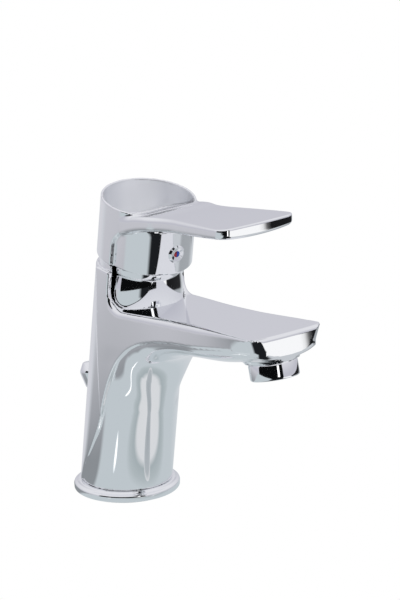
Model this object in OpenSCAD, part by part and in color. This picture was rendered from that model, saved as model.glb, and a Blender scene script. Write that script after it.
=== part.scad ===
// Single-lever basin mixer: leaning column, flat-topped spout, cartridge,
// lever with a rear collar, aerator and pop-up rod. Millimetres, +Z up,
// +X along the spout, origin at the centre of the base on the deck.

/* [Column and base] */
// forward lean of the column and the cartridge, degrees
lean = 9.9; // [8:0.1:12]
// how far the column's foot sits behind the ring centre
foot_back = 0.6; // [0:0.1:1.5]
// radius of the column's front
column_r = 22.4; // [21.9:0.1:25.5]
// how far the side shell stands out of the column's front
shell_proud = 0.8; // [0.4:0.1:1.2]
// outer radius of the base ring
ring_r = 26.5; // [25.5:0.1:32]
// height of the base ring's side wall
ring_h = 4.3; // [3.6:0.1:5.2]
// height at which the column starts
foot_z = 5.6; // [5.4:0.1:6.7]

/* [Spout] */
// distance from the ring centre to the spout's tip
spout_reach = 134.7; // [122:0.1:161]
// half width of the spout at its tip
spout_tip_w = 22.3; // [20:0.1:26.7]
// half width of the spout at its waist
spout_waist_w = 17.4; // [16:0.1:20.9]
// height of the spout's flat top above the ring centre
spout_top_z = 100.4; // [98:0.1:104]
// upward slope of the spout's top, degrees
spout_rise = 5.1; // [3:0.1:7]
// thickness of the spout at its tip
spout_tip_h = 12.3; // [10:0.1:14.7]

/* [Aerator] */
// outer radius of the aerator shell
aerator_r = 11.9; // [11:0.1:12.6]
// distance from the spout's tip back to the aerator
aerator_back = 13.6; // [12.8:0.1:16.3]
// forward tilt of the outlet, degrees
aerator_tilt = 13; // [8:0.5:16]
// height of the outlet face above the deck
aerator_z = 87.4; // [86.8:0.1:88.6]

/* [Cartridge] */
// height of the cartridge floor along the leaning axis
floor_t = 92; // [90.5:0.5:93.5]
// outer radius of the cartridge
cartridge_r = 17.4; // [16.2:0.1:17.6]
// height of the lever's pivot above the cartridge floor
pivot_rise = 31.5; // [31:0.1:32.5]
// outer radius of the dome cover
dome_r = 20.4; // [20.1:0.1:20.6]

/* [Handle] */
// height of the seam under the handle along the leaning axis
seam_t = 127.4; // [126.8:0.1:128.4]
// height of the rear collar's rim along the leaning axis
rim_t = 158.4; // [156:0.1:164]
// wall of the rear collar
collar_wall = 2.5; // [2:0.1:3]
// how far the hub stands forward of the leaning axis
hub_shift = 4; // [3:0.1:4.8]
// radius of the hub under the lever
hub_r = 20.9; // [20.6:0.1:21.3]
// distance from the ring centre to the lever's tip
lever_reach = 114.5; // [102:0.1:137]
// half width of the lever at its tip
lever_tip_w = 22.7; // [19:0.1:27.2]
// thickness of the lever at its tip
lever_tip_h = 6.4; // [5.4:0.1:7.7]
// radius of the index plug
plug_r = 4.5; // [3.8:0.1:5.4]
// radius of the round mark in the plug's face
mark_r = 1.6; // [1.3:0.1:1.9]

/* [Pop-up rod] */
// radius of the rod
rod_r = 2.5; // [2.1:0.1:3]
// backward lean of the rod, degrees
rod_lean = 12; // [11:0.5:13]
// radius of the knob at its widest
knob_r = 5.2; // [4.4:0.1:6.2]

/* [Hidden] */
$fn = 64;
// clearances used all through the part
run_gap = 0.05;
free_gap = 0.35;
seat_gap = 0.1;
// sizes inside the cartridge, from its wall inwards
disc_r = cartridge_r - 2.8;
chamber_r = disc_r + 0.4;
upper_r = cartridge_r - 4.4;
guide_bore_r = upper_r - 1.3;
guide_r = guide_bore_r - free_gap;
carrier_r = guide_bore_r - 0.9;
ball_r = 3;
pin_r = 1.5;
pin_half = carrier_r - 0.2;
thread_wall = 11;
// working heights along the leaning axis, from the cartridge floor up
base_top = floor_t + 5;
fixed_top = base_top + 3.5;
moving_low = fixed_top + free_gap;
moving_top = moving_low + 3.2;
carrier_top = moving_top + 4;
shoulder_t = floor_t + 20;
nut_top = shoulder_t + 6;
neck_top = nut_top + 1;
pivot_t = floor_t + pivot_rise;
ball_t = moving_top + ball_r + free_gap;
shell_r = column_r + shell_proud;
collar_r = shell_r + 0.1;
bore_r = cartridge_r + seat_gap;
thread_r = cartridge_r + 0.6;
neck_r = thread_r + 0.9;
pocket_r = dome_r + 0.4;
cavity_r = column_r - 3.6;
cavity_top = 62;
cheek_x = 2.8;
seam_low = 3.1;
seam_back = 5.3;
skirt_r = shell_r - 1;
rear_neck_r = skirt_r - free_gap;
rear_neck_low = seam_t - 9;
rear_neck_up = 2;
skirt_room = 7.4;
slope = tan(spout_rise);
dome_cap_r = dome_r - 1.1;
hub_bore_r = dome_cap_r + 0.2;

// ---------- shared functions and frames ----------

// straight walk through a list of [place, value] pairs
function walk(list, p, i = 0) =
    i >= len(list) - 1 ? list[len(list) - 1][1]
    : p <= list[i][0] ? list[i][1]
    : p < list[i + 1][0]
        ? list[i][1] + (list[i + 1][1] - list[i][1])
            * (p - list[i][0]) / (list[i + 1][0] - list[i][0])
    : walk(list, p, i + 1);

// the same walk averaged over a short window, so corners are soft
function soft(list, p, win) =
    (walk(list, p - win) + walk(list, p - win / 2) + walk(list, p)
    + walk(list, p + win / 2) + walk(list, p + win)) / 5;

// height of the spout's flat top at a place along X
function top_z(x) = spout_top_z + slope * x;

// height along the leaning axis of the spout's top, x measured across it
function top_t(x) =
    (spout_top_z - slope * foot_back + x * (sin(lean) + slope * cos(lean)))
    / (cos(lean) - slope * sin(lean));

// points of an arc, centre c, radius r, from angle a to angle b
function arc(c, r, a, b, n) =
    [for (i = [0:n]) [c[0] + r * cos(a + (b - a) * i / n),
        c[1] + r * sin(a + (b - a) * i / n)]];

module leaning() {
    translate([-foot_back, 0, 0]) rotate([0, lean, 0]) children();
}

// an extrusion across the part of a side outline drawn in [x, z]
module across(half) {
    translate([0, half, 0]) rotate([90, 0, 0])
        linear_extrude(height = 2 * half) children();
}

// a tube along the leaning axis between two heights
module tube(outer, inner, low, high) {
    difference() {
        translate([0, 0, low]) cylinder(r = outer, h = high - low);
        translate([0, 0, low - 1]) cylinder(r = inner, h = high - low + 2);
    }
}

// a closed skin through rings of points, all rings the same length
module loft(rings) {
    n = len(rings[0]);
    m = len(rings);
    pts = [for (r = rings) for (p = r) p];
    walls = [for (i = [0:m - 2]) for (j = [0:n - 1])
        each [[i * n + j, (i + 1) * n + (j + 1) % n, (i + 1) * n + j],
            [i * n + j, i * n + (j + 1) % n, (i + 1) * n + (j + 1) % n]]];
    low = [for (j = [0:n - 1]) n - 1 - j];
    high = [for (j = [0:n - 1]) (m - 1) * n + j];
    polyhedron(points = pts, faces = concat(walls, [low], [high]));
}

// ---------- the cast body ----------

// half width of the spout's top along X
function spout_w(x) = soft([
    [10, column_r - 0.2],
    [34, column_r - 0.4],
    [62, spout_waist_w + 0.9],
    [80, spout_waist_w],
    [98, spout_waist_w + 1.9],
    [112, spout_waist_w + 3.2],
    [spout_reach, spout_tip_w]], x, 6);

// height of the lower edge of the spout's side
function crease_z(x) = min(top_z(x) - 5.5, soft([
    [10, 86],
    [34, 87.5],
    [50, 91.8],
    [66, 95.3],
    [98, 100.4],
    [spout_reach, top_z(spout_reach) - 6.5]], x, 5));

// height of the middle of the spout's underside
function belly_z(x) = soft([
    [30, 52],
    [33.5, 59],
    [37, 67],
    [42, 74],
    [49, 80],
    [60, 84],
    [76, 87],
    [98, 90],
    [112, 93.4],
    [122, 96.4],
    [spout_reach, top_z(spout_reach) - spout_tip_h]], x, 2.5);

// right half of a spout section, from the top middle to the bottom middle
function spout_half(x) = let (
        w = spout_w(x), t = top_z(x), c = crease_z(x), b = belly_z(x))
    concat(
        [[w - 1.6, t], [w - 0.5, t - 0.35], [w, t - 1.4]],
        [[w + 0.5, (t + c) / 2]],
        [for (a = [0:15:75]) [(w + 0.6) * pow(cos(a), 0.8),
            c - (c - b) * sin(a)]]);

function spout_ring(x) = let (h = spout_half(x), n = len(h))
    concat(
        [for (i = [0:n - 1]) [x, h[i][0], h[i][1]]],
        [[x, 0, belly_z(x)]],
        [for (i = [n - 1:-1:0]) [x, -h[i][0], h[i][1]]]);

module spout_solid() {
    stations = [14, 24, 30, 34, 38, 43, 49, 56, 64, 74, 86, 98, 110, 122,
        spout_reach - 3, spout_reach];
    loft([for (x = stations) spout_ring(x)]);
}

// side outline of everything in front of and above the rear collar
module collar_clear() {
    line_low = seam_t - seam_low;
    line_back = seam_t - seam_back;
    polygon(concat(
        [[-60, 180], [-60, line_back], [-shell_r * 0.76, line_back],
            [-shell_r * 0.5, line_back + 0.3],
            [-shell_r * 0.17, line_low - 1],
            [cheek_x - 1.2, line_low - 0.2],
            [cheek_x - 0.4, line_low - 0.6],
            [cheek_x, line_low - 1.6]],
        arc([cheek_x + 11, top_t(cheek_x) + 12.2], 11, 180, 268, 8),
        [[cheek_x + 16, top_t(cheek_x + 16) - 0.3],
            [60, top_t(60) - 0.3], [60, 180]]));
}

// side outline of the region in front of the side shell's edge
module shell_front() {
    polygon([[60, -10], [-9, -10], [-9, 8], [-7, 15], [-4, 21], [2, 33.5],
        [4.8, 44], [6, 56], [7.6, 66], [10.2, 76], [13.6, 84], [17.8, 89.4],
        [24, 91.5], [60, 92]]);
}

// the rod's own frame: origin on the rod's axis level with the deck
module rod_frame() {
    translate([-27.2 + 50 * tan(rod_lean), 0, 0])
        rotate([0, -rod_lean, 0]) children();
}

// the aerator's own frame: origin at the outlet face, +Z up into the spout
module aerator_frame() {
    translate([spout_reach - aerator_back + 1.2, 0, aerator_z])
        rotate([0, -aerator_tilt, 0]) children();
}

module column_solid() {
    difference() {
        union() {
            cylinder(r = column_r, h = 132);
            difference() {
                cylinder(r = shell_r, h = 132);
                across(40) shell_front();
            }
        }
        across(40) collar_clear();
    }
}

module body() {
    color([0.83, 0.84, 0.86])
    difference() {
        union() {
            difference() {
                union() {
                    leaning() column_solid();
                    spout_solid();
                    // boss the aerator screws into
                    aerator_frame() translate([0, 0, 8.2])
                        cylinder(r = aerator_r + 1.6, h = 6);
                }
                // round pocket the dome cover stands in
                leaning() translate([0, 0, floor_t + 12])
                    cylinder(r = pocket_r, h = 60);
                // hollow foot
                leaning() translate([0, 0, -10])
                    cylinder(r = cavity_r, h = cavity_top + 10);
            }
            // threaded neck inside the dome cover
            leaning() translate([0, 0, floor_t + 8])
                cylinder(r = neck_r, h = neck_top - floor_t - 8);
            // boss round the pop-up rod
            intersection() {
                rod_frame() translate([0, 0, 6]) cylinder(r = 6.4, h = 20);
                leaning() translate([0, 0, 2])
                    cylinder(r = column_r - 0.5, h = 60);
            }
            // arc that closes the gap behind the handle
            leaning() rear_neck();
        }
        // flat foot
        translate([-60, -60, -30]) cube([120, 120, 30 + foot_z]);
        // cartridge bore and its thread
        leaning() translate([0, 0, floor_t]) cylinder(r = bore_r, h = 60);
        leaning() translate([0, 0, shoulder_t])
            cylinder(r = thread_r, h = 60);
        // inlets, hot and cold, and the way out to the spout
        leaning() for (y = [-6.4, 6.4]) {
            translate([-4, y, cavity_top - 1])
                cylinder(r = 4.5, h = thread_wall + 1);
            translate([-4, y, cavity_top])
                cylinder(r = 3.4, h = floor_t - cavity_top + 1);
        }
        spout_way();
        // stud hole in the ceiling of the hollow foot
        leaning() translate([9, 0, cavity_top - 1])
            cylinder(r = 3.4, h = 15);
        // aerator thread
        aerator_frame() translate([0, 0, 6.5])
            cylinder(r = aerator_r - 0.4, h = 10.5);
        // rod hole and bush seat
        rod_frame() translate([0, 0, -5]) cylinder(r = rod_r + 0.5, h = 60);
        rod_frame() translate([0, 0, -5]) cylinder(r = rod_r + 1.6, h = 26);
    }
}

// arc of wall that closes the gap under the collar and, at the back,
// rises inside its skirt
module rear_neck() {
    intersection() {
        tube(rear_neck_r, rear_neck_r - 1, rear_neck_low,
            seam_t + rear_neck_up);
        across(40) polygon([[-60, 0], [cheek_x - 0.6, 0],
            [cheek_x - 0.6, seam_t - free_gap],
            [-13.4, seam_t - free_gap], [-13.4, 200], [-60, 200]]);
    }
}

// bore from under the cartridge to the aerator
module spout_way() {
    start = [-foot_back + (floor_t - 6) * sin(lean) + 8, 0,
        (floor_t - 6) * cos(lean)];
    finish = [spout_reach - aerator_back - 2, 0, aerator_z + 13.4];
    run = finish - start;
    tilt = atan2(run[0], run[2]);
    translate(start) rotate([0, tilt, 0])
        cylinder(r = 4.2, h = norm(run));
    leaning() translate([8, 0, floor_t - 8]) cylinder(r = 3.6, h = 9);
}

// ---------- base ----------

module base_ring() {
    color([0.83, 0.84, 0.86])
    difference() {
        rotate_extrude($fn = 96) polygon([
            [18.6, 0.4], [ring_r - 0.6, 0.4], [ring_r, 1],
            [ring_r, ring_h - 0.9], [ring_r - 0.25, ring_h - 0.35],
            [ring_r - 0.9, ring_h], [column_r + 2.6, ring_h + 0.15],
            [column_r + 2.2, foot_z - 0.5], [column_r + 1.8, foot_z],
            [18.6, foot_z]]);
        translate([0, 0, -1])
            difference() {
                cylinder(r = ring_r - 2, h = 2.6);
                translate([0, 0, -1]) cylinder(r = 20.6, h = 5);
            }
        rod_frame() translate([0, 0, -10]) cylinder(r = rod_r + 1.2, h = 30);
    }
}

module base_gasket() {
    color([0.12, 0.12, 0.13])
        tube(ring_r - 2.1, 20.7, 0, 1.6);
}

// ---------- pop-up rod ----------

module rod_bush() {
    color([0.85, 0.85, 0.82])
    rod_frame() {
        tube(rod_r + 1.5, rod_r + run_gap, 8.6, 21);
    }
}

module popup_rod() {
    color([0.83, 0.84, 0.86])
    rod_frame() translate([0, 0, 1.5]) cylinder(r = rod_r, h = 50);
}

module popup_knob() {
    color([0.83, 0.84, 0.86])
    rod_frame() difference() {
        rotate_extrude() polygon([
            [0, 46.8], [rod_r + 0.3, 46.8], [rod_r + 0.9, 47.6],
            [knob_r, 54.6], [knob_r, 55.6], [knob_r - 1.9, 59.6],
            [knob_r - 2.6, 60], [0, 60]]);
        translate([0, 0, 40]) cylinder(r = rod_r, h = 11.5);
    }
}

// ---------- aerator ----------

module aerator_shell() {
    color([0.83, 0.84, 0.86])
    aerator_frame() difference() {
        union() {
            cylinder(r = aerator_r, h = 8.1);
            translate([0, 0, 8]) cylinder(r = aerator_r - 0.5, h = 6.5);
        }
        translate([0, 0, -1]) cylinder(r = aerator_r - 2.4, h = 3);
        translate([0, 0, 1.9]) cylinder(r = aerator_r - 1.7, h = 20);
    }
}

module aerator_insert() {
    color([0.8, 0.8, 0.78])
    aerator_frame() difference() {
        translate([0, 0, 1.9]) cylinder(r = aerator_r - 1.8, h = 11);
        translate([0, 0, 3.4]) cylinder(r = aerator_r - 3.2, h = 8);
        for (r = [2.2, 4.6, 7])
            for (i = [0:(r < 3 ? 5 : r < 5 ? 11 : 17)])
                rotate(i * 360 / (r < 3 ? 6 : r < 5 ? 12 : 18))
                    translate([r, 0, 0]) cylinder(r = 0.6, h = 20, $fn = 16);
    }
}

module aerator_gasket() {
    color([0.12, 0.12, 0.13])
    aerator_frame() tube(aerator_r - 0.6, aerator_r - 4, 14.5, 16.6);
}

// ---------- cartridge ----------

// the three water ways through the base and the fixed disc
module ports(r, low, high) {
    for (y = [-6.4, 6.4])
        translate([-4, y, low]) cylinder(r = r, h = high - low);
    translate([8, 0, low]) cylinder(r = r, h = high - low);
}

module cartridge_base() {
    color([0.3, 0.45, 0.7])
    leaning() difference() {
        translate([0, 0, floor_t])
            cylinder(r = cartridge_r - 0.05, h = base_top - floor_t);
        ports(3.3, floor_t - 1, base_top + 1);
        ports(5, floor_t - 1, floor_t + 1.4);
    }
}

module inlet_seals() {
    color([0.12, 0.12, 0.13])
    leaning() difference() {
        ports(4.9, floor_t, floor_t + 1.4);
        ports(3.4, floor_t - 1, floor_t + 2);
    }
}

module fixed_disc() {
    color([0.93, 0.93, 0.9])
    leaning() difference() {
        translate([0, 0, base_top])
            cylinder(r = disc_r, h = fixed_top - base_top);
        ports(3.1, base_top - 1, fixed_top + 1);
    }
}

module moving_disc() {
    color([0.93, 0.93, 0.9])
    leaning() difference() {
        translate([0, 0, moving_low])
            cylinder(r = carrier_r, h = moving_top - moving_low);
        translate([1, 0, moving_low - 1]) cylinder(r = 6, h = 2.6);
    }
}

module disc_carrier() {
    color([0.25, 0.25, 0.27])
    leaning() difference() {
        translate([0, 0, moving_top])
            cylinder(r = carrier_r, h = carrier_top - moving_top);
        translate([0, 0, moving_top - 1])
            cylinder(r = ball_r + 0.4, h = 8);
    }
}

module cartridge_housing() {
    color([0.9, 0.9, 0.88])
    leaning() difference() {
        union() {
            translate([0, 0, base_top])
                cylinder(r = cartridge_r, h = shoulder_t - base_top);
            translate([0, 0, base_top])
                cylinder(r = upper_r, h = pivot_t - 3 - base_top);
        }
        translate([0, 0, base_top - 1])
            cylinder(r = chamber_r,
                h = carrier_top + free_gap - base_top + 1);
        translate([0, 0, base_top - 1]) cylinder(r = guide_bore_r, h = 60);
    }
}

module cartridge_nut() {
    color([0.78, 0.65, 0.36])
    leaning() difference() {
        tube(thread_r - 0.05, upper_r + 0.2, shoulder_t, nut_top);
        for (a = [0:60:300])
            rotate(a) translate([cartridge_r - 1.8, 0, nut_top - 2.5])
                cylinder(r = 1.5, h = 4);
    }
}

// outline of the dome cover, drawn in [radius, height]
module dome_outline() {
    cap_end = asin((seam_t + 3.6 - pivot_t) / dome_cap_r);
    polygon(concat(
        [[dome_r - 0.7, floor_t + 12.2], [dome_r - 0.7, floor_t + 16.5],
            [dome_r - 0.35, floor_t + 18.6], [dome_r, floor_t + 21.4],
            [dome_r, pivot_t - 1.5], [dome_r - 0.25, pivot_t - 1.1]],
        arc([0, pivot_t], dome_cap_r, 0, cap_end, 6),
        [[disc_r, seam_t + 3.6], [disc_r, seam_t + 2.4]],
        arc([0, pivot_t], dome_cap_r - 1, cap_end - 4, 0, 6),
        [[neck_r + 0.05, pivot_t - 2.6], [neck_r + 0.05, floor_t + 12.2]]));
}

module dome_cover() {
    color([0.83, 0.84, 0.86])
    leaning() rotate_extrude($fn = 96) dome_outline();
}

module lever_guide() {
    color([0.9, 0.9, 0.88])
    leaning() difference() {
        translate([0, 0, carrier_top + free_gap])
            cylinder(r = guide_r,
                h = pivot_t + 3 - carrier_top - free_gap);
        translate([-6.6, -4.2, 0]) cube([13.2, 8.4, 200]);
        translate([0, 20, pivot_t]) rotate([90, 0, 0])
            cylinder(r = pin_r, h = 40);
    }
}

module pivot_pin() {
    color([0.75, 0.76, 0.78])
    leaning() translate([0, pin_half, pivot_t]) rotate([90, 0, 0])
        cylinder(r = pin_r, h = 2 * pin_half);
}

module spindle() {
    color([0.78, 0.65, 0.36])
    leaning() difference() {
        union() {
            translate([0, 0, ball_t]) sphere(r = ball_r);
            translate([0, 0, ball_t]) cylinder(r = 2.6, h = 14);
            translate([-4.5, -3.8, pivot_t - 5])
                cube([9, 7.6, 22]);
        }
        translate([0, 20, pivot_t]) rotate([90, 0, 0])
            cylinder(r = pin_r + run_gap, h = 40);
    }
}

// ---------- handle ----------

// height of the lever's top along X
function lever_top(x) = soft([
    [2, 139.6],
    [8, 141],
    [15, 143.8],
    [24, 147],
    [34, 150.8],
    [42, 153],
    [58, 155.3],
    [lever_reach, 162]], x, 3);

// half width of the lever along X
function lever_w(x) = soft([
    [20, shell_r],
    [36, shell_r - 0.4],
    [46, 21.4],
    [56, 18.9],
    [66, 18.4],
    [78, 19.6],
    [lever_reach, lever_tip_w]], x, 4);

// thickness of the lever at its middle
function lever_h(x) = walk([
    [20, 9.6],
    [44, 9.4],
    [70, 8.6],
    [lever_reach - 4, lever_tip_h],
    [lever_reach, lever_tip_h - 1.4]], x);

function lever_half(x) = let (
        w = lever_w(x), t = lever_top(x), h = lever_h(x))
    concat(
        [[w - 1.2, t], [w - 0.3, t - 0.35], [w, t - 1.2]],
        [for (a = [20:14:76]) [w * pow(cos(a - 8), 0.7),
            t - 1.6 - (h - 1.6) * sin(a)]]);

function lever_ring(x) = let (h = lever_half(x), n = len(h))
    concat(
        [for (i = [0:n - 1]) [x, h[i][0], h[i][1]]],
        [[x, 0, lever_top(x) - lever_h(x)]],
        [for (i = [n - 1:-1:0]) [x, -h[i][0], h[i][1]]]);

module lever_plate() {
    stations = [30, 38, 44, 50, 56, 62, 70, 80, 90, 100,
        lever_reach - 4, lever_reach];
    loft([for (x = stations) lever_ring(x)]);
}

// side outline, in [x, z], of the space above the lever's top
module above_lever() {
    polygon(concat(
        [for (x = [-6:3:48]) [x, lever_top(x)]],
        [[60, 200], [-6, 200]]));
}

// side outline of the space under the lever in front of the cheeks
module under_lever() {
    polygon(concat(
        [[cheek_x, seam_t - 5]],
        arc([cheek_x + 10, seam_t + 11.6], 10, 180, 90, 8),
        [[cheek_x + 22, seam_t + 22.4], [60, seam_t + 22.4],
            [60, seam_t - 5]]));
}

module handle() {
    color([0.83, 0.84, 0.86])
    difference() {
        union() {
            difference() {
                leaning() difference() {
                    union() {
                        translate([0, 0, seam_t + 1.2])
                            cylinder(r = collar_r,
                                h = rim_t - seam_t - 1.2);
                        translate([0, 0, seam_t])
                            cylinder(r1 = collar_r - 0.7, r2 = collar_r,
                                h = 1.2);
                    }
                    across(40) under_lever();
                }
                // the bowl inside the rear collar
                intersection() {
                    leaning() translate([0, 0, 100])
                        cylinder(r = shell_r - collar_wall, h = 90);
                    across(40) above_lever();
                }
                // the rim falls away where the collar meets the lever
                across(40) polygon([[30, lever_top(44) + 0.6],
                    [60, lever_top(44) + 0.6], [60, 200], [30, 200]]);
            }
            lever_plate();
            leaning() intersection() {
                translate([hub_shift, 0, seam_t])
                    cylinder(r = hub_r, h = 23);
                translate([-11, -40, 0]) cube([60, 80, 300]);
            }
        }
        leaning() {
            // room for the dome cover
            translate([0, 0, seam_t - 1])
                cylinder(r = hub_bore_r, h = 8.4);
            // room for the arc of the body's wall
            intersection() {
                translate([0, 0, seam_t - 1])
                    cylinder(r = skirt_r, h = skirt_room + 1);
                translate([-60 + 2.3, -30, 0]) cube([60, 60, 200]);
            }
            // square socket on the spindle
            translate([-4.55, -3.85, seam_t])
                cube([9.1, 7.7, pivot_t + 17 - seam_t]);
            // set screw thread and index plug seat
            translate([0, 0, seam_t + 10.6]) rotate([0, 90, 0])
                cylinder(r = 2.5, h = 40);
            translate([hub_shift + hub_r - 3, 0, seam_t + 10.6])
                rotate([0, 90, 0]) cylinder(r = plug_r + 0.05, h = 20);
        }
    }
}

module set_screw() {
    color([0.3, 0.3, 0.32])
    leaning() translate([4.5, 0, seam_t + 10.6]) rotate([0, 90, 0])
        difference() {
            cylinder(r = 2.45, h = 9);
            translate([0, 0, 6.4]) cylinder(r = 1.45, h = 5, $fn = 6);
        }
}

module index_plug() {
    color([0.83, 0.84, 0.86])
    leaning() translate([hub_shift + hub_r - 3, 0, seam_t + 10.6])
        rotate([0, 90, 0]) difference() {
            union() {
                cylinder(r = plug_r, h = 3);
                translate([0, 0, 3])
                    cylinder(r1 = plug_r, r2 = plug_r - 0.7, h = 0.7);
            }
            // dished face, with the mark's recess at its bottom
            translate([0, 0, 3.15])
                cylinder(r1 = mark_r + 0.3, r2 = plug_r - 1, h = 0.6);
            translate([0, 0, 2.85]) cylinder(r = mark_r + 0.1, h = 2);
        }
}

// one half of the round mark in the plug's face
module half_mark(side) {
    leaning() translate([hub_shift + hub_r - 3, 0, seam_t + 10.6])
        rotate([0, 90, 0]) intersection() {
            translate([0, 0, 2.85]) cylinder(r = mark_r, h = 0.3);
            translate([-5, side > 0 ? 0.1 : -5.1, 0]) cube([10, 5, 10]);
        }
}

module hot_mark() {
    color([0.8, 0.08, 0.1]) half_mark(-1);
}

module cold_mark() {
    color([0.1, 0.25, 0.75]) half_mark(1);
}

body();
base_ring();
base_gasket();
rod_bush();
popup_rod();
popup_knob();
aerator_shell();
aerator_insert();
aerator_gasket();
cartridge_base();
inlet_seals();
fixed_disc();
cartridge_housing();
cartridge_nut();
dome_cover();
lever_guide();
pivot_pin();
moving_disc();
disc_carrier();
spindle();
handle();
set_screw();
index_plug();
hot_mark();
cold_mark();
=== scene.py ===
import math

import bpy
import numpy as np
from mathutils import Matrix, Vector


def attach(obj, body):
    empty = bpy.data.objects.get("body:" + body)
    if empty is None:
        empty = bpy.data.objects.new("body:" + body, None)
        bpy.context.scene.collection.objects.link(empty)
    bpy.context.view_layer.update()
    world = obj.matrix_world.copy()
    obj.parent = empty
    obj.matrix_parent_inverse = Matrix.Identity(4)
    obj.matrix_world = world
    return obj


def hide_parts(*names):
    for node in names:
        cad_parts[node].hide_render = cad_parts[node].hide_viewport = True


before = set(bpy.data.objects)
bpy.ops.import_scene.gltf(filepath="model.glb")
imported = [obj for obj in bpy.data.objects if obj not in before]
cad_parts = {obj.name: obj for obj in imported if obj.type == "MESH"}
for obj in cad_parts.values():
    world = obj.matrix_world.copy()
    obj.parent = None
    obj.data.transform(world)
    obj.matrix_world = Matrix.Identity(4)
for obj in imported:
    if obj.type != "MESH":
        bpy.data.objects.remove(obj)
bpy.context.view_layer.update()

# ---------------------------------------------------------------- camera
# A long lens looks a little down on the faucet, from the front right of
# the spout, and is rolled slightly, as a hand-held one is.

view_turn, view_rise, view_roll = 53, 17.2745, 1.7757
view_away, view_across, view_over = 2.0035819, 0.036393, 0.093158
turned_by, raised_by = math.radians(view_turn), math.radians(view_rise)
rolled_by = math.radians(view_roll)
back = Vector((math.sin(turned_by) * math.cos(raised_by),
               -math.cos(turned_by) * math.cos(raised_by), math.sin(raised_by)))
level = Vector((math.cos(turned_by), math.sin(turned_by), 0))
upright = level.cross(-back)
side = level * math.cos(rolled_by) - upright * math.sin(rolled_by)
over = level * math.sin(rolled_by) + upright * math.cos(rolled_by)
place = side * view_across + over * view_over + back * view_away
lens = bpy.data.cameras.new("camera")
lens.lens = 240
lens.clip_start, lens.clip_end = 0.05, 50
camera = bpy.data.objects.new("camera", lens)
bpy.context.scene.collection.objects.link(camera)
camera.matrix_world = Matrix((
    (side.x, over.x, back.x, place.x),
    (side.y, over.y, back.y, place.y),
    (side.z, over.z, back.z, place.z),
    (0, 0, 0, 1)))
bpy.context.scene.camera = camera
bpy.context.scene.view_settings.view_transform = "Standard"

# ---------------------------------------------------------------- room
# White paper is all that the camera sees behind the faucet. The chrome
# mirrors walls that are a pale lilac low down and paler higher up.

# The colour sockets of a Mix node, which share their names with others.
mix_share, mix_first, mix_second, mixed = 0, 6, 7, 2


def tint(code):
    """A colour written as sRGB hex, made linear."""
    parts = [int(code[i:i + 2], 16) / 255 for i in (0, 2, 4)]
    return [p / 12.92 if p <= 0.04045 else ((p + 0.055) / 1.055) ** 2.4
            for p in parts] + [1.0]


def add(tree, kind, settings=None, links=None):
    """A node with its settings and the links into it."""
    node = tree.nodes.new(kind)
    for name, value in (settings or {}).items():
        if isinstance(name, str) and hasattr(node, name):
            setattr(node, name, value)
        else:
            node.inputs[name].default_value = value
    for name, source in (links or {}).items():
        tree.links.new(source, node.inputs[name])
    return node


def blend_ramp(tree, source, stops):
    """A colour ramp with its stops given as (place, colour)."""
    ramp = add(tree, "ShaderNodeValToRGB", links={"Fac": source})
    first, last = ramp.color_ramp.elements
    first.position, first.color = stops[0][0], tint(stops[0][1])
    last.position, last.color = stops[-1][0], tint(stops[-1][1])
    for place, code in stops[1:-1]:
        ramp.color_ramp.elements.new(place).color = tint(code)
    return ramp.outputs[0]


world = bpy.data.worlds.new("room")
bpy.context.scene.world = world
world.use_nodes = True
room = world.node_tree
room.nodes.clear()
around_us = add(room, "ShaderNodeTexCoord").outputs["Generated"]
height = add(room, "ShaderNodeSeparateXYZ", links={"Vector": around_us}).outputs["Z"]
wall = blend_ramp(room, height, [(0, "c3c3cc"), (0.6, "e6e6ea")])
seen = add(room, "ShaderNodeLightPath").outputs["Is Camera Ray"]
wall_seen = add(room, "ShaderNodeMix", {"data_type": "RGBA", mix_second: tint("ffffff")},
                {mix_share: seen, mix_first: wall}).outputs[mixed]
glow = add(room, "ShaderNodeBackground", {"Strength": 1.0}, {"Color": wall_seen})
add(room, "ShaderNodeOutputWorld", links={"Surface": glow.outputs[0]})


def empty_material(name):
    """A node material with nothing in it yet."""
    made = bpy.data.materials.new(name)
    made.use_nodes = True
    made.node_tree.nodes.clear()
    return made, made.node_tree


def glowing(name, strength, colour):
    """A cloth or paper that glows: in one colour, or in a pattern's colours."""
    made, tree = empty_material(name)
    if callable(colour):
        glow = add(tree, "ShaderNodeEmission", {"Strength": strength},
                   {"Color": colour(tree)})
    else:
        glow = add(tree, "ShaderNodeEmission", {"Strength": strength,
                   "Color": tint(colour)})
    add(tree, "ShaderNodeOutputMaterial", links={"Surface": glow.outputs[0]})
    return made


bpy.ops.mesh.primitive_plane_add(size=12, location=(0, 0, -0.0005))
floor = bpy.context.object
floor.name = "floor"
floor.data.transform(floor.matrix_world)
floor.matrix_world = Matrix.Identity(4)
floor.data.materials.append(glowing("white_paper", 1.0, "ffffff"))
floor.visible_glossy = False

# ---------------------------------------------------------------- table
# What the polished metal mirrors below it, painted on glowing ovals: pale paper, a dark sector
# in front, a painted bright window beyond it, the faucet's painted shadow, the painted shade
# under the spout and a painted strip of light.

paper = "c4ccd0"
lilac = "d6d6dc"
gloom = "1c1e21"
table_r = 0.8


def only_mirrored(made):
    """Keeps a piece of the studio, or a painted patch of light or shade, for reflections alone.
    """
    made.visible_camera = False
    made.visible_shadow = False
    made.visible_diffuse = False


def around(angle, distance):
    """A place on the table, by its angle and distance from the faucet."""
    a = math.radians(angle)
    return distance * math.cos(a), distance * math.sin(a)


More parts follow.
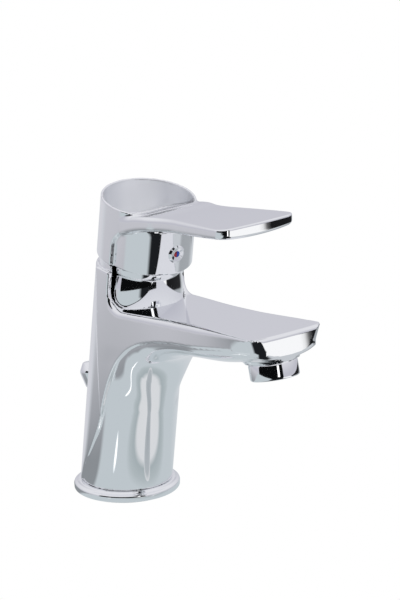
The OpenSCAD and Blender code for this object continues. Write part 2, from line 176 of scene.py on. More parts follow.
def oval_card_on_table(name, centre, half_long, half_wide, turn, layer, material):
    """A flat oval: the table itself, or painted shade or light lying on it; the layers lie 0.04
    mm apart under the faucet.
    """
    bpy.ops.object.select_all(action="DESELECT")
    bpy.ops.mesh.primitive_circle_add(vertices=96, radius=1, fill_type="NGON",
                                      calc_uvs=True)
    made = bpy.context.object
    made.name = name
    for corner in made.data.uv_layers[0].data:
        corner.uv = (corner.uv[0] * 2 - 1, corner.uv[1] * 2 - 1)
    spun = Matrix.Rotation(math.radians(turn), 3, "Z").to_quaternion()
    made.data.transform(Matrix.LocRotScale(
        Vector((*centre, -0.0003 + layer * 0.00004)), spun,
        Vector((half_long, half_wide, 1))))
    made.data.materials.append(material)
    only_mirrored(made)


def from_middle(stops):
    """Colours that change from an oval's middle to its rim."""
    def colour_of(tree):
        where = add(tree, "ShaderNodeTexCoord").outputs["UV"]
        reach = add(tree, "ShaderNodeVectorMath", {"operation": "LENGTH"}, {"Vector": where})
        return blend_ramp(tree, reach.outputs["Value"], stops)
    return colour_of


def table_colours(tree):
    """The table's colours: they change with the angle round the faucet, in three rings, and one
    sector carries the faucet's painted shadow, which darkens evenly towards the middle."""
    where = add(tree, "ShaderNodeTexCoord").outputs["UV"]
    turn = add(tree, "ShaderNodeTexGradient", {"gradient_type": "RADIAL"},
               {"Vector": where}).outputs["Fac"]
    length = add(tree, "ShaderNodeVectorMath", {"operation": "LENGTH"},
                 {"Vector": where}).outputs["Value"]
    reach = add(tree, "ShaderNodeMath", {"operation": "MULTIPLY", 1: table_r},
                {0: length}).outputs[0]

    def by_angle(stops):
        return blend_ramp(tree, turn, [((d + 180) / 360, code) for d, code in stops])

    def mix(factor, a, b):
        return add(tree, "ShaderNodeMix", {"data_type": "RGBA"},
                   {mix_share: factor, mix_first: a, mix_second: b}).outputs[mixed]

    def beyond(low, high):
        return add(tree, "ShaderNodeMapRange", {"From Min": low, "From Max": high},
                   {"Value": reach}).outputs[0]

    near = by_angle([(-180, lilac), (-125, paper), (70, paper), (120, "d4d8dc"),
                     (180, lilac)])
    middle = by_angle([(-180, lilac), (-125, paper), (-42, paper), (-35, gloom), (8, gloom),
                       (12, "c9cdd1"), (42, "c9cdd1"), (50, "a4a8ac"), (88, "a8acb0"),
                       (110, "d0d4d8"), (180, lilac)])
    # The far ring holds a painted bright window, from 1 to 32 degrees, between dark sectors.
    far = by_angle([(-180, lilac), (-125, paper), (-46, paper), (-38, gloom), (0, gloom),
                    (1, "ffffff"), (32, "ffffff"), (34, "1a1a1c"), (92, "2a2a2c"),
                    (108, "d0d4d8"), (180, lilac)])
    light = mix(beyond(0.112, 0.135), near, middle)
    light = mix(beyond(0.33, 0.35), light, far)
    # The faucet's painted shadow: from -168 to -102 degrees the table darkens towards the
    # faucet.
    shade = blend_ramp(tree, length, [
        (r / table_r, code) for r, code in
        [(0, "8e9296"), (0.07, "8e9296"), (0.14, "a2a4a9"), (0.24, "b6b7bc"),
         (0.42, "c5c5cb"), (0.8, "cacad0")]])
    shaded = by_angle([(-180, "000000"), (-168, "202020"), (-152, "ffffff"),
                       (-110, "ffffff"), (-102, "000000"), (180, "000000")])
    return mix(shaded, light, shade)


oval_card_on_table("table_top", (0, 0), table_r, table_r, 0, 0,
             glowing("table_light", 1.0, table_colours))
# The spout's painted shadow on the table, drawn as a darker ring round a paler middle.
oval_card_on_table("spout_shadow_oval", (0.082, 0), 0.052, 0.062, 0, 1,
             glowing("spout_shadow_paint", 1.0, from_middle(
                 [(0, "dfe0e2"), (0.55, "dcdee0"), (0.68, "a9b3b6"), (0.86, "b4bdc0"),
                  (1, paper)])))
# A painted stripe of shade down the middle of the spout's shadow.
oval_card_on_table("spout_shade", (0.076, 0), 0.040, 0.0075, 0, 2,
             glowing("spout_shade_stripe_paint", 1.0, from_middle(
                 [(0, "a6acb1"), (0.85, "b4babe"), (1, "dcdee0")])))
# A painted strip of light on the table, which the column's front mirrors as an upright streak.
oval_card_on_table("slit_light", around(-67, 0.070), 0.021, 0.0032, -67, 3,
             glowing("slit_light_paint", 1.3, from_middle(
                 [(0, "ffffff"), (0.6, "ffffff"), (1, paper)])))

# ---------------------------------------------------------------- cards
# A dark curtain stands round the left of the table, and one small lit
# panel in front gives the outlet's shell its upright highlight.

bpy.ops.object.select_all(action="DESELECT")
bpy.ops.mesh.primitive_plane_add(size=1)
curtain = bpy.context.object
curtain.name = "dark_curtain"
bpy.ops.object.mode_set(mode="EDIT")
bpy.ops.mesh.select_all(action="SELECT")
bpy.ops.mesh.subdivide(number_cuts=31)
bpy.ops.object.mode_set(mode="OBJECT")
curtain_from, curtain_to, curtain_away, curtain_high = -98, 2, 0.62, 0.36
for point in curtain.data.vertices:
    angle = curtain_from + (curtain_to - curtain_from) * (point.co.x + 0.5)
    point.co = (*around(angle, curtain_away), curtain_high * (point.co.y + 0.5))
curtain.data.materials.append(glowing("dark_room", 1.0, "0a0b0c"))
only_mirrored(curtain)

bpy.ops.object.select_all(action="DESELECT")
bpy.ops.mesh.primitive_plane_add(size=1)
panel = bpy.context.object
panel.name = "outlet_window"
panel_at = Vector((0.30, -0.06, 0.13))
faces = (Vector((0, 0, 0.12)) - panel_at).to_track_quat("Z", "Y")
panel.data.transform(Matrix.LocRotScale(panel_at, faces, Vector((0.03, 0.10, 1))))
panel.data.materials.append(glowing("window_cloth", 1.5, "ffffff"))
only_mirrored(panel)

# ---------------------------------------------------------------- cast skins
# The body and the handle are brass castings, ground and polished before
# plating, so every form runs into the next through a blended fillet.
# No primitive gives such a skin, so each is the level surface of a few
# blended solids, meshed on an even grid and drawn onto that surface.

def soft_min(a, b, k):
    """The lower of a and b, blended where they differ by less than k."""
    h = np.clip(0.5 + 0.5 * (b - a) / k, 0, 1)
    return b + (a - b) * h - k * h * (1 - h)


def soft_max(a, b, k):
    """The higher of a and b, blended in the same way."""
    return -soft_min(-a, -b, k)


def round_max(a, b, radius):
    """Inside both a and b, with the corner between them an arc."""
    p, q = np.maximum(a + radius, 0), np.maximum(b + radius, 0)
    return np.minimum(np.maximum(a + radius, b + radius), 0) + np.hypot(p, q) - radius


def smooth_curve(points, low=-60.0, high=200.0):
    """A smooth curve through (place, value) points, read by interpolation."""
    px, py = np.array(points, float).T
    slope = np.gradient(py, px)
    step = np.linspace(low, high, 5201)
    i = np.clip(np.searchsorted(px, step) - 1, 0, len(px) - 2)
    run = px[i + 1] - px[i]
    s = np.clip((step - px[i]) / run, 0, 1)
    value = (py[i] * (1 + 2 * s) * (1 - s) ** 2 + py[i + 1] * s * s * (3 - 2 * s)
             + run * (slope[i] * s * (1 - s) ** 2 - slope[i + 1] * s * s * (1 - s)))
    for _ in range(2):
        eased = np.pad(value, 35, mode="edge")
        value = np.convolve(eased, np.full(71, 1 / 71), mode="valid")
    return lambda x: np.interp(x, step, value)


def level_skin(name, field, low, high, cell):
    """The surface where field is 0, meshed with quads and smooth normals.
    low, high and cell are in mm; the mesh is in metres."""
    axes = [np.arange(low[i], high[i] + cell, cell) for i in range(3)]
    nx, ny, nz = (len(a) for a in axes)
    values = np.empty((nx, ny, nz))
    yy, zz = np.meshgrid(axes[1], axes[2], indexing="ij")
    for i, x in enumerate(axes[0]):
        values[i] = field(np.full(yy.shape, x), yy, zz)
    inside = values < 0

    # One point goes in each cell that the surface crosses.
    corner = [(a, b, c) for a in (0, 1) for b in (0, 1) for c in (0, 1)]
    total = sum(inside[a:nx - 1 + a, b:ny - 1 + b, c:nz - 1 + c].astype(np.int8)
                for a, b, c in corner)
    mixed = (total > 0) & (total < 8)
    index = np.full(mixed.shape, -1, np.int64)
    cells = np.argwhere(mixed)
    index[mixed] = np.arange(len(cells))
    place = np.zeros((len(cells), 3))
    count = np.zeros(len(cells))
    ci, cj, ck = cells.T
    for a in corner:
        for axis in range(3):
            if a[axis]:
                continue
            b = list(a)
            b[axis] = 1
            va = values[ci + a[0], cj + a[1], ck + a[2]]
            vb = values[ci + b[0], cj + b[1], ck + b[2]]
            cut = (va < 0) != (vb < 0)
            share = np.where(cut, va / np.where(cut, va - vb, 1), 0)
            spot = np.array(a, float)[None, :].repeat(len(cells), 0)
            spot[:, axis] += share
            place += np.where(cut[:, None], spot, 0)
            count += cut
    points = (cells + place / count[:, None]) * cell + np.array([a[0] for a in axes])

    # One quad goes across each grid edge that the surface crosses.
    quads = []
    for axis in range(3):
        u, v = (axis + 1) % 3, (axis + 2) % 3
        near = np.take(inside, range(0, inside.shape[axis] - 1), axis)
        far = np.take(inside, range(1, inside.shape[axis]), axis)
        edges = np.argwhere(near != far)
        keep = (edges[:, u] > 0) & (edges[:, v] > 0)
        keep &= (edges[:, u] < inside.shape[u] - 1) & (edges[:, v] < inside.shape[v] - 1)
        edges = edges[keep]
        loop = []
        for du, dv in ((-1, -1), (0, -1), (0, 0), (-1, 0)):
            c = edges.copy()
            c[:, u] += du
            c[:, v] += dv
            loop.append(index[c[:, 0], c[:, 1], c[:, 2]])
        loop = np.array(loop).T
        solid_first = inside[edges[:, 0], edges[:, 1], edges[:, 2]]
        loop[~solid_first] = loop[~solid_first][:, ::-1]
        quads.append(loop)
    quads = np.concatenate(quads)

    def slope_at(p):
        h = 0.02
        out = np.empty_like(p)
        for i in range(3):
            d = np.zeros(3)
            d[i] = h
            out[:, i] = (field(*(p + d).T) - field(*(p - d).T)) / (2 * h)
        return out

    def settle(p, times):
        for _ in range(times):
            g = slope_at(p)
            move = field(*p.T)[:, None] * g / np.maximum((g * g).sum(1), 0.05)[:, None]
            size = np.linalg.norm(move, axis=1, keepdims=True)
            p = p - move * np.minimum(1, 0.5 * cell / np.maximum(size, 1e-9))
        return p

    # The points are drawn onto the surface and evened out along it.
    points = settle(points, 3)
    for _ in range(2):
        centre = points[quads].mean(1)
        sum_, n = np.zeros_like(points), np.zeros(len(points))
        for i in range(4):
            np.add.at(sum_, quads[:, i], centre)
            np.add.at(n, quads[:, i], 1)
        points = points + 0.5 * (sum_ / n[:, None] - points)
        points = settle(points, 2)
    normals = slope_at(points)
    normals /= np.linalg.norm(normals, axis=1, keepdims=True)
    mesh = bpy.data.meshes.new(name)
    mesh.vertices.add(len(points))
    mesh.vertices.foreach_set("co", (points / 1000).astype(np.float32).ravel())
    mesh.loops.add(len(quads) * 4)
    mesh.loops.foreach_set("vertex_index", quads.astype(np.int32).ravel())
    mesh.polygons.add(len(quads))
    mesh.polygons.foreach_set("loop_start", np.arange(len(quads), dtype=np.int32) * 4)
    mesh.polygons.foreach_set("use_smooth", np.ones(len(quads), bool))
    mesh.update(calc_edges=True)
    mesh.validate()
    mesh.normals_split_custom_set_from_vertices([Vector(n) for n in normals])
    made = bpy.data.objects.new(name, mesh)
    bpy.context.scene.collection.objects.link(made)
    return made


# ---------------------------------------------------------------- body
# Cast brass, bright chrome: a leaning column with a recessed front, a
# side shell that runs out along the spout, and a collar round the dome.

lean_degrees, foot_back = 9.9, 0.6
shell_r, column_r = 23.2, 22.4
spout_tip, tip_bulge, tip_half = 134.6, 1.2, 22
plate_z, plate_rise = 100.4, 0.0895
outlet_x, outlet_z, outlet_tilt = 122.3, 87.4, 13
lean = math.radians(lean_degrees)


def leaning(x, z):
    """Across and along the leaning column, from upright x and z."""
    return ((x + foot_back) * math.cos(lean) - z * math.sin(lean),
            (x + foot_back) * math.sin(lean) + z * math.cos(lean))


shell_edge = smooth_curve([(-60, -70), (-12, 1), (-8.1, 9.4), (-4.9, 16), (-0.9, 21.4),
                           (5.8, 32.1), (11, 42.2), (14.6, 54), (18.5, 63.8),
                           (24.3, 73.9), (32, 82.3), (42.2, 89), (50, 92), (65, 95.5),
                           (84, 98), (98, 100.5), (111, 102.6), (123, 104), (135, 105.2)])
belly_top = smooth_curve([(14, 86), (34, 87.5), (42, 89), (50, 92), (65, 95.5),
                          (84, 98), (98, 100.5), (111, 102.6), (123, 104), (135, 105.2)])
belly_low = smooth_curve([(14, 55), (27, 56), (31, 59), (34, 64), (38, 70), (43, 75),
                          (50, 80), (60, 84), (76, 87), (98, 90), (112, 93.6),
                          (122, 96.6), (135, 100)])
side_top = smooth_curve([(10, 23.1), (34, 22.9), (44, 22.2), (56, 21), (66, 20.3),
                         (80, 20), (92, 20.1), (104, 20.7), (115, 21.4), (125, 21.9),
                         (135, 22.3)])
side_low = smooth_curve([(10, 23.1), (34, 22.9), (50, 22), (66, 21), (80, 20.4),
                         (92, 20.1), (104, 19.9), (115, 19.7), (125, 19.3), (135, 19)])
rim_seam = smooth_curve([(-60, 122.1), (-17.7, 122.1), (-11.6, 122.4), (-4, 123.4),
                         (1.6, 124.1), (60, 124.4)])


def body_field(x, y, z):
    """Below 0 inside the body; x, y and z are in mm."""
    u, t = leaning(x, z)
    v = np.abs(y)
    r = np.hypot(u, y)
    plate = plate_z + plate_rise * x
    tip = x - spout_tip + tip_bulge * (v / tip_half) ** 2

    # The shell: the column's back and both flanks, above a curved edge.
    slope = shell_edge(x + 0.5) - shell_edge(x - 0.5)
    over_edge = (z - shell_edge(x)) / np.sqrt(1 + slope * slope)
    rise = np.clip((z - belly_top(x)) / (plate - belly_top(x)), 0, 1)
    flank = side_low(x) + (side_top(x) - side_low(x)) * rise
    shell = soft_min(r - shell_r, np.maximum(v - flank, 12 - x), 1.5)
    shell = soft_max(shell, -over_edge, 1.0)

    # The front: a rounder column set back in the shell, and its belly,
    # half an oval in section, that runs out under the spout.
    set_back = np.interp(x, [50, 112], [0.8, 0.25])
    deep = belly_top(x) - belly_low(x)
    wide = side_low(x) - set_back
    below = np.maximum(belly_top(x) - z, 0)
    belly = (np.hypot(v / wide, below / deep) - 1) * np.minimum(wide, deep)
    belly = np.maximum(belly, 14 - x)
    ahead = np.clip((x - 14) / 28, 0, 1)
    front = soft_min(r - column_r, belly, 4 + 8 * ahead * ahead * (3 - 2 * ahead))
    skin = soft_min(shell, front, 0.9)

    # Room for the handle: cut down to the plate and back to the cheeks.
    cheek = round_max(2.8 - u, plate - z, 11)
    clear = soft_min(np.maximum(rim_seam(u) - t, u - 8), cheek, 1.2)
    fillet = np.interp(z - plate, [1, 7], [3.2, 1.1]) * np.interp(x, [90, 125], [1, 0.4])
    skin = soft_max(skin, -clear, fillet)

    # The spout's tip, its corners rounded in plan.
    skin = round_max(skin, tip, 2.0)
    skin = np.where(x > 115, np.maximum(skin, round_max(v - flank, tip, 6.5)), skin)

    # The outlet: a sleeve blended into the belly, and its bore.
    c, s = math.cos(math.radians(outlet_tilt)), math.sin(math.radians(outlet_tilt))
    up = (z - outlet_z) * c - (x - outlet_x) * s
    out = np.hypot((x - outlet_x) * c + (z - outlet_z) * s, y)
    skin = soft_min(skin, np.maximum(np.maximum(out - 13, 8.4 - up), up - 14), 2.5)
    skin = np.maximum(skin, -np.maximum(out - 11.55, up - 17))

    # The dome's seat, the neck inside the seam, the foot and the hollows.
    skin = soft_max(skin, -np.maximum(r - 21, plate + 0.02 - z), 0.5)
    neck = np.maximum(np.maximum(r - 21.85, 20.85 - r),
                      np.maximum(t - np.where(u < -13.4, 129.4, 127.05), u - 2.2))
    skin = soft_min(skin, np.maximum(neck, 118 - t), 0.3)
    skin = soft_max(skin, 5.6 - z, 0.5)
    skin = np.maximum(skin, -np.maximum(r - 18.8, t - 62))
    return np.maximum(skin, -np.maximum(r - 17.5, 92 - t))


body = level_skin("body_skin", body_field, (-26, -25, 3.4), (136.5, 25, 132), 0.8)
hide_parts("body")
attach(body, "tap")


def chrome_plate(name, grain, smear, least=0.035):
    """Bright nickel-chrome plate over ground metal: a mirror with a faint
    ripple left by the grinding, about 7 mm long, and thin smears of 11 by
    33 mm that dull it a little."""
    made, tree = empty_material(name)
    where = add(tree, "ShaderNodeTexCoord")
    wipe = add(tree, "ShaderNodeMapping", {"Scale": (30, 30, 90)},
               {"Vector": where.outputs["Object"]})
    haze = add(tree, "ShaderNodeTexNoise", {"Scale": 1.0, "Detail": 4.0},
               {"Vector": wipe.outputs[0]})
    dull = add(tree, "ShaderNodeMapRange", {"From Min": 0.35, "From Max": 0.75,
               "To Min": least, "To Max": smear}, {"Value": haze.outputs["Fac"]})
    ripple = add(tree, "ShaderNodeTexNoise", {"Scale": 140.0, "Detail": 1.0},
                 {"Vector": where.outputs["Object"]})
    bump = add(tree, "ShaderNodeBump", {"Strength": grain, "Distance": 0.0002},
               {"Height": ripple.outputs["Fac"]})
    shine = add(tree, "ShaderNodeBsdfPrincipled",
                {"Base Color": tint("f6f7f9"), "Metallic": 1.0},
                {"Roughness": dull.outputs[0], "Normal": bump.outputs[0]})
    add(tree, "ShaderNodeOutputMaterial", links={"Surface": shine.outputs[0]})
    return made


bright_chrome = chrome_plate("bright_chrome", 0.015, 0.07)
body.data.materials.append(bright_chrome)

# ---------------------------------------------------------------- handle
# One casting: a rear collar that is a deep bowl, the lever that grows
# out of it, and the round hub that sits on the cartridge.

lever_top = smooth_curve([(-30, 139.4), (2, 139.6), (5, 140.2), (10, 141.7), (15, 143.7),
                          (24, 147.1), (34, 150.9), (42, 153.1), (60, 155.5),
                          (112, 161.7), (120, 162.6)])
lever_wide = smooth_curve([(20, 22.4), (30, 22.3), (38, 21.7), (44, 21.4), (50, 20.8),
                           (57, 19), (67, 18.4), (75, 19.3), (83, 20.3), (91.5, 21.2),
                           (99.4, 22.1), (108, 22.6), (116, 22.7)])
lever_mid = smooth_curve([(20, 9.8), (44, 9.4), (70, 9.2), (90, 8.8), (104, 7.2),
                          (112, 6.3), (116, 6)])
lever_edge = smooth_curve([(20, 8), (35, 7.4), (50, 6.4), (80, 5.6), (116, 4.6)])

collar_r, rim_t, seam_t = 23.3, 158.4, 127.4
lever_tip, hub_r, hub_forward = 114.4, 20.9, 4
bowl_low_t, bowl_low_r, bowl_rim_r = 139, 20.5, 22.1


def handle_field(x, y, z):
    """Below 0 inside the handle; x, y and z are in mm."""
    u, t = leaning(x, z)
    v = np.abs(y)
    r = np.hypot(u, y)
    top = lever_top(x)

    # The collar, arched open in front, with the bowl sunk into it.
    collar = soft_max(r - collar_r, t - rim_t, 0.5)
    collar = soft_max(collar, seam_t - t, 1.4)
    arch = round_max(2.8 - u, t - 148.8, 12)
    collar = soft_max(collar, -arch, 1.0)
    inner = np.interp(t, [bowl_low_t, rim_t], [bowl_low_r, bowl_rim_r])
    bowl = soft_max(r - inner, top - z, np.interp(u, [-10, 8], [3, 0.8]))
    collar = soft_max(collar, -bowl, 0.7)

    # The lever: flat on top, thickest down its middle, rounded in plan.
    wide = lever_wide(x)
    off_middle = np.clip(v / wide, 0, 1)
    thick = lever_edge(x) + (lever_mid(x) - lever_edge(x)) * (1 - off_middle ** 2.2)
    plan = round_max(v - wide, x - lever_tip + tip_bulge * (v / tip_half) ** 2, 6)
    lever = soft_max(plan, z - top, np.interp(x, [50, 80, 108], [2.6, 2.2, 1.0]))
    lever = soft_max(lever, top - thick - z, 2.0)
    lever = np.maximum(lever, 33 - x)

    # The hub, and the room inside for the cartridge and its nut.
    hub = soft_max(np.hypot(u - hub_forward, y) - hub_r, seam_t - t, 0.8)
    hub = np.maximum(np.maximum(hub, t - 150), -11 - u)
    hub = np.maximum(hub, z - top + 1.5)
    skin = soft_min(collar, lever, 1.6)
    skin = soft_min(skin, hub, 1.2)
    inside = np.maximum(r - 19.5, t - 134.8)
    behind = np.maximum(np.maximum(r - 22.2, t - 134.8), u - 2.3)
    return soft_max(skin, -np.minimum(inside, behind), 0.3)


handle = level_skin("handle_skin", handle_field, (-27, -25, 119), (116, 25, 164.5), 0.62)
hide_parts("handle")
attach(handle, "lever")
handle.data.materials.append(bright_chrome)
# The polishing wheel can't reach into the bowl, so the plate there is satin.
handle.data.materials.append(chrome_plate("bowl_chrome", 0.04, 0.42, 0.34))


def in_bowl(p):
    """Whether a point of the casting lies on the bowl's inner wall."""
    u, t = leaning(p.x * 1000, p.z * 1000)
    reach = math.hypot(u, p.y * 1000)
    over_plate = p.z * 1000 - lever_top(p.x * 1000)
    return reach < 22.45 and t > 141 and over_plate > 1.2


for face in handle.data.polygons:
    if in_bowl(face.center):
        face.material_index = 1

# ---------------------------------------------------------------- base ring
# A turned brass ring, polished and plated, that sits on its gasket and
# frames the column's foot. Its top has a small step round the column.

def turned(name, outline, place, edge, closed=True):
    """An outline of (radius, height) points in mm, spun round the upright
    axis into a solid with softened edges, and then set in its place."""
    n = len(outline)
    chain = [(i, (i + 1) % n) for i in range(n if closed else n - 1)]
    mesh = bpy.data.meshes.new(name)
    mesh.from_pydata([(r / 1000, 0, h / 1000) for r, h in outline], chain, [])
    made = bpy.data.objects.new(name, mesh)
    bpy.context.scene.collection.objects.link(made)
    bpy.ops.object.select_all(action="DESELECT")
    made.select_set(True)
    bpy.context.view_layer.objects.active = made
    bpy.ops.object.mode_set(mode="EDIT")
    bpy.ops.mesh.select_all(action="SELECT")
    bpy.ops.mesh.spin(steps=160, angle=2 * math.pi, center=(0, 0, 0), axis=(0, 0, 1))
    bpy.ops.mesh.select_all(action="SELECT")
    bpy.ops.mesh.remove_doubles(threshold=1e-6)
    bpy.ops.mesh.normals_make_consistent(inside=False)
    bpy.ops.object.mode_set(mode="OBJECT")
    soft = made.modifiers.new("edge", "BEVEL")
    soft.width = edge / 1000
    soft.segments = 3
    soft.limit_method = "ANGLE"
    soft.angle_limit = math.radians(32)
    bpy.ops.object.modifier_apply(modifier="edge")
    made.data.transform(place)
    bpy.ops.object.shade_smooth_by_angle(angle=math.radians(34))
    made.data.materials.append(bright_chrome)
    return made


ring = turned("base_ring_skin",
              [(18.7, 0.5), (25.8, 0.5), (26.4, 1.1), (26.5, 3.2), (26.2, 4.0),
               (25.4, 4.35), (24.9, 4.45), (24.6, 4.7), (24.4, 5.3), (24.1, 5.55),
               (18.7, 5.55)],
              Matrix.Identity(4), 0.3)
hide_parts("base_ring")
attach(ring, "tap")

# ---------------------------------------------------------------- dome cover
# Spun brass, plated, dropped over the cartridge nut. Its wall narrows
# upwards to a small lip, and a cap of a ball closes it under the hub.

def leaned(angle, x, z):
    """A place whose upright axis leans forward by an angle from x, z in mm."""
    return (Matrix.Translation((x / 1000, 0, z / 1000))
            @ Matrix.Rotation(math.radians(angle), 4, "Y"))


def arc(radius, height, bend, start, stop, count):
    """Points of an outline along an arc, its angles from level."""
    out = []
    for i in range(count + 1):
        a = math.radians(start + (stop - start) * i / count)
        out.append((radius + bend * math.cos(a), height + bend * math.sin(a)))
    return out


dome_r, dome_widest_at, dome_bend = 20.4, 107, 60
dome = turned("dome_skin",
              [(17.9, 105.5)]
              + arc(dome_r - dome_bend, dome_widest_at, dome_bend, -1.4, 14.5, 24)
              + [(18.6, 122.4), (19.1, 123.0), (19.25, 124.2), (19.1, 126.2),
                 (18.4, 129.2), (17.2, 130.9), (14.6, 131), (14.6, 129.8), (16.6, 129.6),
                 (17.9, 125), (17.6, 121), (17.6, 106)],
              leaned(lean_degrees, -foot_back, 0), 0.15)
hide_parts("dome_cover")
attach(dome, "tap")

# ---------------------------------------------------------------- aerator
# The shell is a turned and plated sleeve screwed up into the spout. A
# moulded insert and a flat washer are held in it.

outlet = turned("aerator_skin",
                [(9.6, 0.15), (11.3, 0.0), (11.75, 0.3), (11.88, 1.0), (11.88, 7.2),
                 (11.6, 7.9), (11.4, 8.3), (11.4, 14.4), (10.2, 14.4), (10.2, 2.0),
                 (9.6, 1.9)],
                leaned(-outlet_tilt, outlet_x, outlet_z), 0.15)
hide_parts("aerator_shell")
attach(outlet, "tap")

# ---------------------------------------------------------------- pop-up rod
# A drawn steel rod with a turned and plated brass knob screwed on its
# end. It slides in a nylon bush pressed into the back of the foot.

rod_lean, bush_x, bush_z = 12, -27.2, 50
knob = turned("knob_skin",
              [(0, 60), (2.4, 60), (3.2, 59.7), (4.9, 56.3), (5.2, 55.4), (5.15, 54.6),
               (3.5, 47.9), (3.1, 47.2), (2.6, 46.9), (2.55, 51), (0, 51)],
              leaned(-rod_lean, bush_x + bush_z * math.tan(math.radians(rod_lean)), 0),
              0.3, closed=False)
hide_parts("popup_knob")
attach(knob, "rod")


def dress(names, material):
    """Gives nodes whose shape is already right their real finish."""
    for name in names:
        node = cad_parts[name]
        node.data.materials.clear()
        node.data.materials.append(material)


dress(["popup_rod"], chrome_plate("rod_chrome", 0.05, 0.12, 0.06))


def moulded(name, code, rough, speckle, grain=2600.0):
    """Moulded plastic: an even spark-eroded grain of 0.2 to 0.4 mm, drawn
    coarser than the real one so that it shows, and a little paler on the
    edges, where handling has rubbed it."""
    made, tree = empty_material(name)
    where = add(tree, "ShaderNodeTexCoord").outputs["Object"]
    spark = add(tree, "ShaderNodeTexNoise", {"Scale": grain, "Detail": 3.0},
                {"Vector": where})
    cloud = add(tree, "ShaderNodeTexNoise", {"Scale": 180.0, "Detail": 2.0},
                {"Vector": where})
    edge = add(tree, "ShaderNodeNewGeometry").outputs["Pointiness"]
    worn = add(tree, "ShaderNodeMapRange", {"From Min": 0.52, "From Max": 0.62},
               {"Value": edge}).outputs[0]
    base = tint(code)
    rubbed = [min(1, c * 1.25 + 0.02) for c in base[:3]] + [1]
    dusky = [c * (1 - speckle) for c in base[:3]] + [1]
    uneven = add(tree, "ShaderNodeMix", {"data_type": "RGBA", mix_first: base,
                 mix_second: dusky}, {mix_share: cloud.outputs["Fac"]}).outputs[mixed]
    colour = add(tree, "ShaderNodeMix", {"data_type": "RGBA", mix_second: rubbed},
                 {mix_share: worn, mix_first: uneven}).outputs[mixed]
    dull = add(tree, "ShaderNodeMapRange", {"To Min": rough - 0.06, "To Max": rough + 0.08},
               {"Value": cloud.outputs["Fac"]}).outputs[0]
    bump = add(tree, "ShaderNodeBump", {"Strength": 0.25, "Distance": 0.00006},
               {"Height": spark.outputs["Fac"]})
    shine = add(tree, "ShaderNodeBsdfPrincipled", {"IOR": 1.49},
                {"Base Color": colour, "Roughness": dull, "Normal": bump.outputs[0]})
    add(tree, "ShaderNodeOutputMaterial", links={"Surface": shine.outputs[0]})
    return made


dress(["rod_bush"], moulded("natural_nylon", "e2dfd3", 0.42, 0.10))

# ---------------------------------------------------------------- seals
# Moulded black nitrile: the gasket under the base ring, the aerator's
# flat washer and the three seals under the cartridge.

dress(["base_gasket", "aerator_gasket", "inlet_seals"],
      moulded("black_nitrile", "2b2b2d", 0.72, 0.35, 4200.0))

# ---------------------------------------------------------------- cartridge
# A ceramic-disc cartridge: acetal base and housing clipped together, two
# lapped ceramic discs, and a brass spindle on a steel pin.

dress(["cartridge_base"], moulded("blue_acetal", "3d72b4", 0.38, 0.15))
dress(["aerator_insert", "cartridge_housing", "lever_guide"],
      moulded("white_acetal", "e6e5df", 0.36, 0.08))
dress(["disc_carrier"], moulded("dark_acetal", "3a3a3f", 0.40, 0.2))


def lapped_ceramic(name):
    """Alumina lapped flat: dense, near white, with a faint grey speckle and
    a polish that turns to satin between the grains. The grains are drawn
    0.45 mm wide, much coarser than real ones, so that they show."""
    made, tree = empty_material(name)
    where = add(tree, "ShaderNodeTexCoord").outputs["Object"]
    grains = add(tree, "ShaderNodeTexVoronoi", {"Scale": 2200.0}, {"Vector": where})
    colour = blend_ramp(tree, grains.outputs["Distance"],
                        [(0, "cfccc4"), (0.25, "ece9e2"), (1, "f2efe9")])
    dull = add(tree, "ShaderNodeMapRange", {"To Min": 0.10, "To Max": 0.22},
               {"Value": grains.outputs["Distance"]}).outputs[0]
    shine = add(tree, "ShaderNodeBsdfPrincipled", {"IOR": 1.76},
                {"Base Color": colour, "Roughness": dull})
    add(tree, "ShaderNodeOutputMaterial", links={"Surface": shine.outputs[0]})
    return made


dress(["fixed_disc", "moving_disc"], lapped_ceramic("lapped_alumina"))


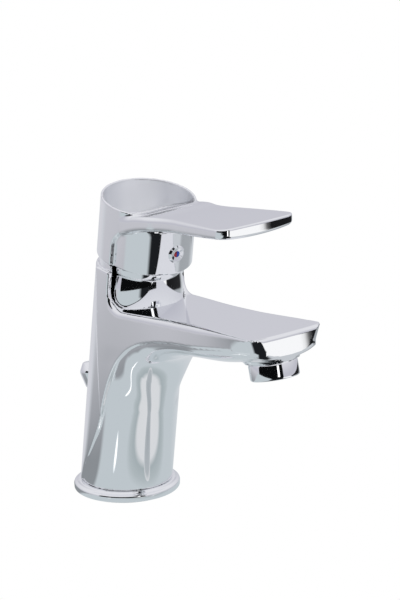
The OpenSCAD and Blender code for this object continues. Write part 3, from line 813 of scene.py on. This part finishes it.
def turned_metal(name, code, tarnish, rough, turn):
    """Metal off the lathe: rings 0.35 mm apart round its axis under a thin,
    patchy tarnish that is rubbed bright again on the edges."""
    made, tree = empty_material(name)
    where = add(tree, "ShaderNodeTexCoord").outputs["Object"]
    upright = add(tree, "ShaderNodeMapping", {"Rotation": (0, math.radians(-turn), 0)},
                  {"Vector": where}).outputs[0]
    rings = add(tree, "ShaderNodeTexWave", {"bands_direction": "Z", "Scale": 900.0,
                "Distortion": 0.6, "Detail": 1.0}, {"Vector": upright})
    patch = add(tree, "ShaderNodeTexNoise", {"Scale": 240.0, "Detail": 4.0},
                {"Vector": where})
    edge = add(tree, "ShaderNodeNewGeometry").outputs["Pointiness"]
    worn = add(tree, "ShaderNodeMapRange", {"From Min": 0.52, "From Max": 0.60,
               "To Min": 1.0, "To Max": 0.0}, {"Value": edge}).outputs[0]
    stain = add(tree, "ShaderNodeMapRange", {"From Min": 0.42, "From Max": 0.7},
                {"Value": patch.outputs["Fac"]}).outputs[0]
    stain = add(tree, "ShaderNodeMath", {"operation": "MULTIPLY"},
                {0: stain, 1: worn}).outputs[0]
    colour = add(tree, "ShaderNodeMix", {"data_type": "RGBA", mix_first: tint(code),
                 mix_second: tint(tarnish)}, {mix_share: stain}).outputs[mixed]
    dull = add(tree, "ShaderNodeMapRange", {"To Min": rough, "To Max": rough + 0.18},
               {"Value": stain}).outputs[0]
    bump = add(tree, "ShaderNodeBump", {"Strength": 0.35, "Distance": 0.00005},
               {"Height": rings.outputs["Fac"]})
    shine = add(tree, "ShaderNodeBsdfPrincipled", {"Metallic": 1.0},
                {"Base Color": colour, "Roughness": dull, "Normal": bump.outputs[0]})
    add(tree, "ShaderNodeOutputMaterial", links={"Surface": shine.outputs[0]})
    return made


dress(["cartridge_nut", "spindle"], turned_metal("turned_brass", "d9b66a", "a8843f", 0.20, 9.9))
dress(["pivot_pin", "set_screw"], turned_metal("plain_steel", "b4b4b8", "85858a", 0.24, 0))

# ---------------------------------------------------------------- index plug
# A small chrome-plated moulding pressed into the hub, its round mark
# filled with red enamel on one half and blue on the other.

dress(["index_plug"], chrome_plate("plug_chrome", 0.04, 0.10, 0.05))


def enamel(name, code, deep):
    """Stoved enamel: a full gloss coat, a shade deeper where it is thick,
    with the slight orange peel, 1.4 mm wide, of a filled recess."""
    made, tree = empty_material(name)
    where = add(tree, "ShaderNodeTexCoord").outputs["Object"]
    pool = add(tree, "ShaderNodeTexNoise", {"Scale": 700.0, "Detail": 2.0},
               {"Vector": where})
    colour = blend_ramp(tree, pool.outputs["Fac"], [(0.3, deep), (0.7, code)])
    bump = add(tree, "ShaderNodeBump", {"Strength": 0.15, "Distance": 0.00004},
               {"Height": pool.outputs["Fac"]})
    dull = add(tree, "ShaderNodeMapRange", {"To Min": 0.08, "To Max": 0.16},
               {"Value": pool.outputs["Fac"]}).outputs[0]
    shine = add(tree, "ShaderNodeBsdfPrincipled", {"IOR": 1.52},
                {"Base Color": colour, "Roughness": dull, "Normal": bump.outputs[0]})
    add(tree, "ShaderNodeOutputMaterial", links={"Surface": shine.outputs[0]})
    return made


dress(["hot_mark"], enamel("hot_enamel", "c8141c", "8f0b12"))
dress(["cold_mark"], enamel("cold_enamel", "1d4fc4", "12358c"))
